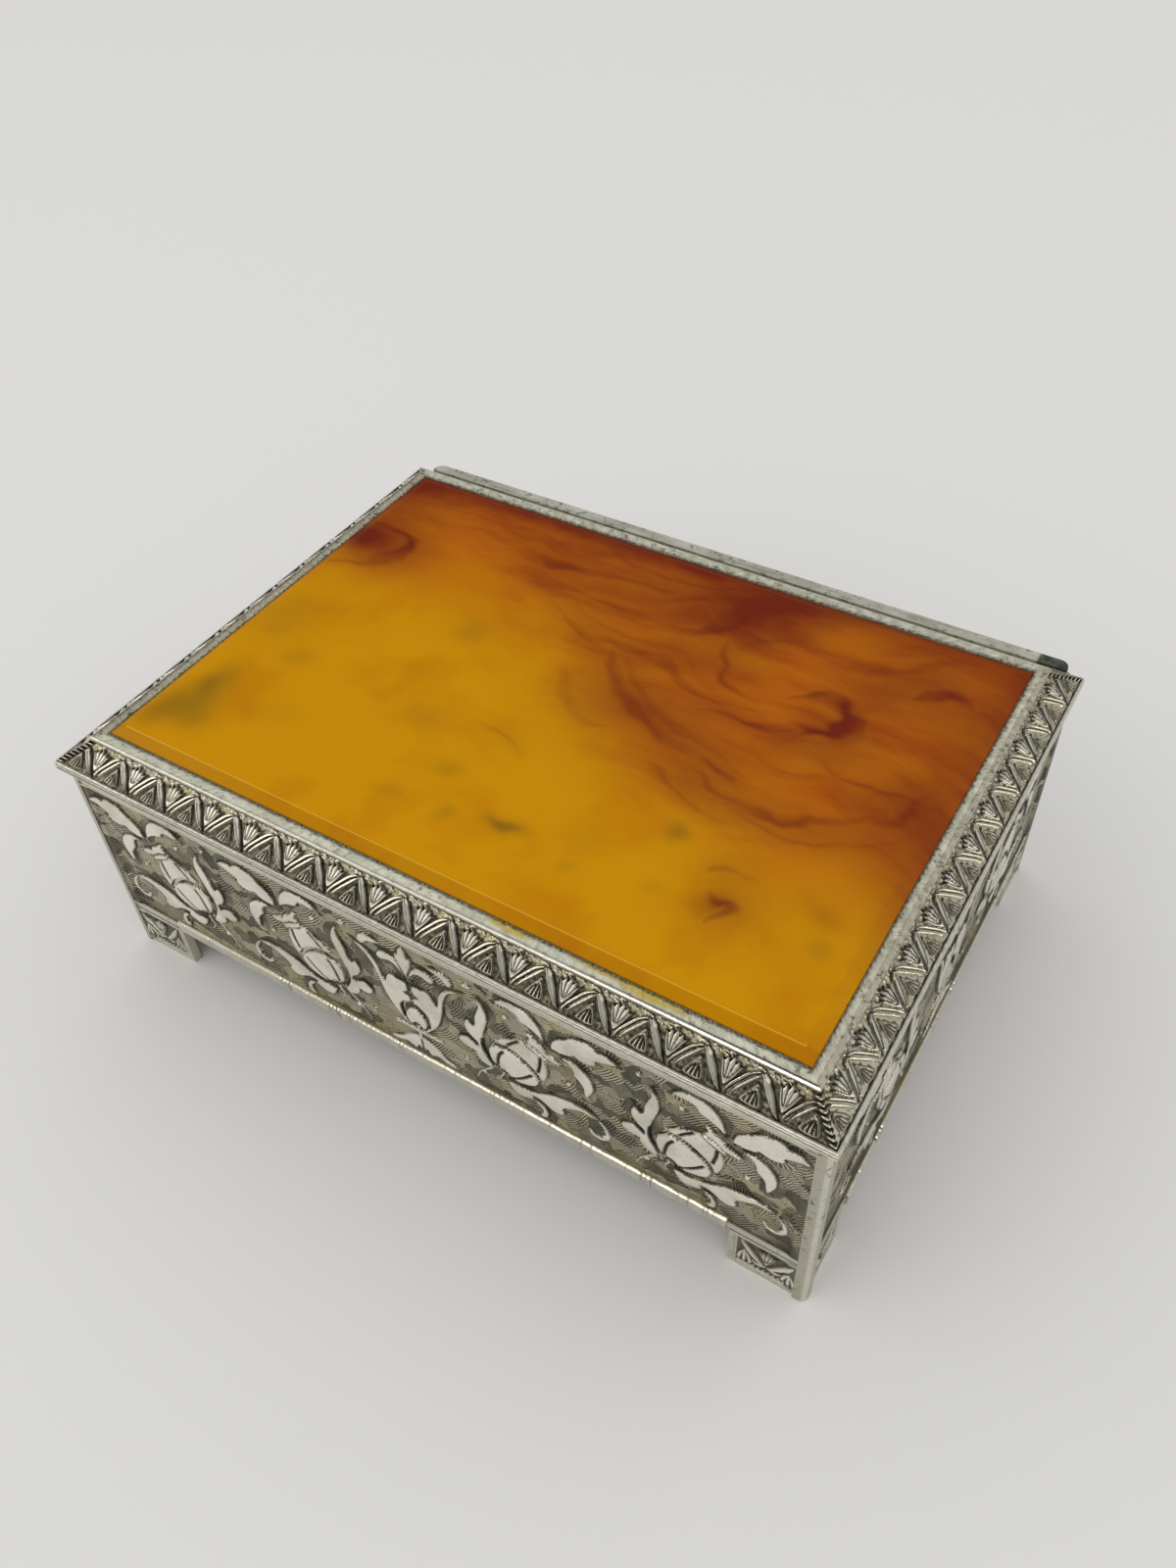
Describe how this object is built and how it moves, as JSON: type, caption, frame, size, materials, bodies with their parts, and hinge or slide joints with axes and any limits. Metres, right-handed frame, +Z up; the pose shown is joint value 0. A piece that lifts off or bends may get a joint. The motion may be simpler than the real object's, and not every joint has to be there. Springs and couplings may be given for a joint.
{
  "type": "cigarette box",
  "caption": "Rectangular silver-plated table box with relief-ornamented walls on bracket feet, a hinged lid holding a bevelled amber slab, and a divided cedar lining.",
  "frame": {"origin": "centre of the footprint's bounding box, on the table that the feet stand on", "axes": "+X along the long side to the right, +Y from the front to the hinge at the back, +Z up"},
  "size_m": [0.128, 0.095, 0.0479],
  "materials": {
    "cast_silver": "cast silver plate, darkened in the recesses and rubbed bright on the high parts",
    "bright_silver": "plain polished silver plate with fine scratches",
    "sheet_metal": "dull plated brass sheet",
    "pin_steel": "drawn wire",
    "cedar": "bare planed cedar",
    "amber_resin": "polished marbled amber-coloured resin"
  },
  "bodies": {
    "body": {"front_wall": "cast_silver", "back_wall": "cast_silver", "left_wall": "cast_silver", "right_wall": "cast_silver", "foot_front_left": "cast_silver", "foot_front_right": "cast_silver", "foot_back_left": "cast_silver", "foot_back_right": "cast_silver", "base_plate": "sheet_metal", "liner_floor": "cedar", "liner_front": "cedar", "liner_back": "cedar", "liner_left": "cedar", "liner_right": "cedar", "liner_divider": "cedar", "body_hinge_bearer": "bright_silver", "hinge_pin": "pin_steel"},
    "lid": {"lid_front_rail": "cast_silver", "lid_back_rail": "cast_silver", "lid_left_rail": "cast_silver", "lid_right_rail": "cast_silver", "lid_bezel": "bright_silver", "lid_backing_plate": "sheet_metal", "amber_slab": "amber_resin", "lid_liner": "cedar", "lid_hinge_bearer": "bright_silver"}
  },
  "joints": [
    {"name": "lid_hinge", "type": "hinge", "parent": "body", "child": "lid", "pos_m": [0, 0.0464, 0.04185], "axis": [-1, 0, 0], "range_deg": [0, 105]}
  ]
}
